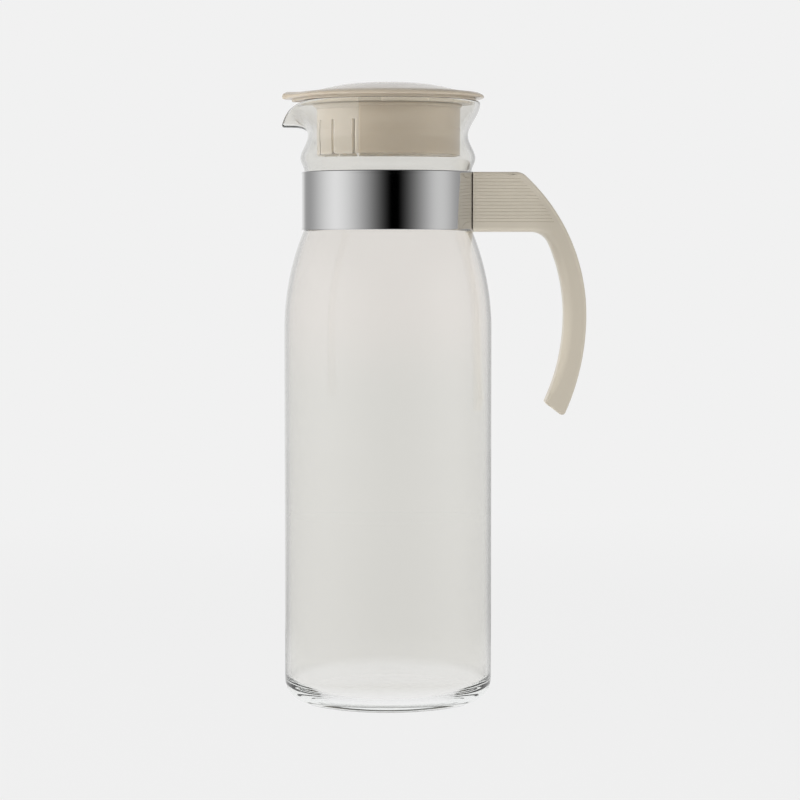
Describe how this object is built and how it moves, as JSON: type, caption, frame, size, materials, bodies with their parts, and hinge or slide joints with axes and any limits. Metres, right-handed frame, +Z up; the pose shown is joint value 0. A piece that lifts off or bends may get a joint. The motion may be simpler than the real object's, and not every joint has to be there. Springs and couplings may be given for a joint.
{
  "type": "glass pitcher with lid",
  "caption": "Tall glass jug with a drooping pouring lip, a curved open-ended plastic handle on a steel neck strap, and a lift-off lid with a comb strainer.",
  "frame": {"origin": "centre of the round base, on the plane of the table", "axes": "+Z up along the glass axis, +X towards the handle, -X towards the pouring lip"},
  "size_m": [0.1432, 0.098, 0.2921],
  "materials": {
    "clear_glass": "clear, fire-polished rim",
    "polished_steel": "mirror polished",
    "clear_cushion": "clear soft plastic strip",
    "handle_plastic": "satin, warm greige, grooved cheeks",
    "screw_steel": "plated",
    "lid_plastic": "satin, warm greige, slightly translucent",
    "soft_clear_ring": "clear soft silicone"
  },
  "bodies": {
    "jug": {"glass_jug": "clear_glass", "neck_band": "polished_steel", "band_cushion": "clear_cushion", "handle": "handle_plastic", "band_screw": "screw_steel", "band_nut": "screw_steel"},
    "lid_ring": {"lid_gasket": "soft_clear_ring"},
    "lid": {"lid_cover": "lid_plastic", "lid_plug": "lid_plastic"}
  },
  "joints": [
    {"name": "lid_lift", "type": "slide", "parent": "jug", "child": "lid_ring", "axis": [0, 0, 1], "range_m": [0, 0.06]},
    {"name": "lid_turn", "type": "hinge", "parent": "lid_ring", "child": "lid", "pos_m": [0, 0, 0.2825], "axis": [0, 0, 1], "continuous": true}
  ]
}
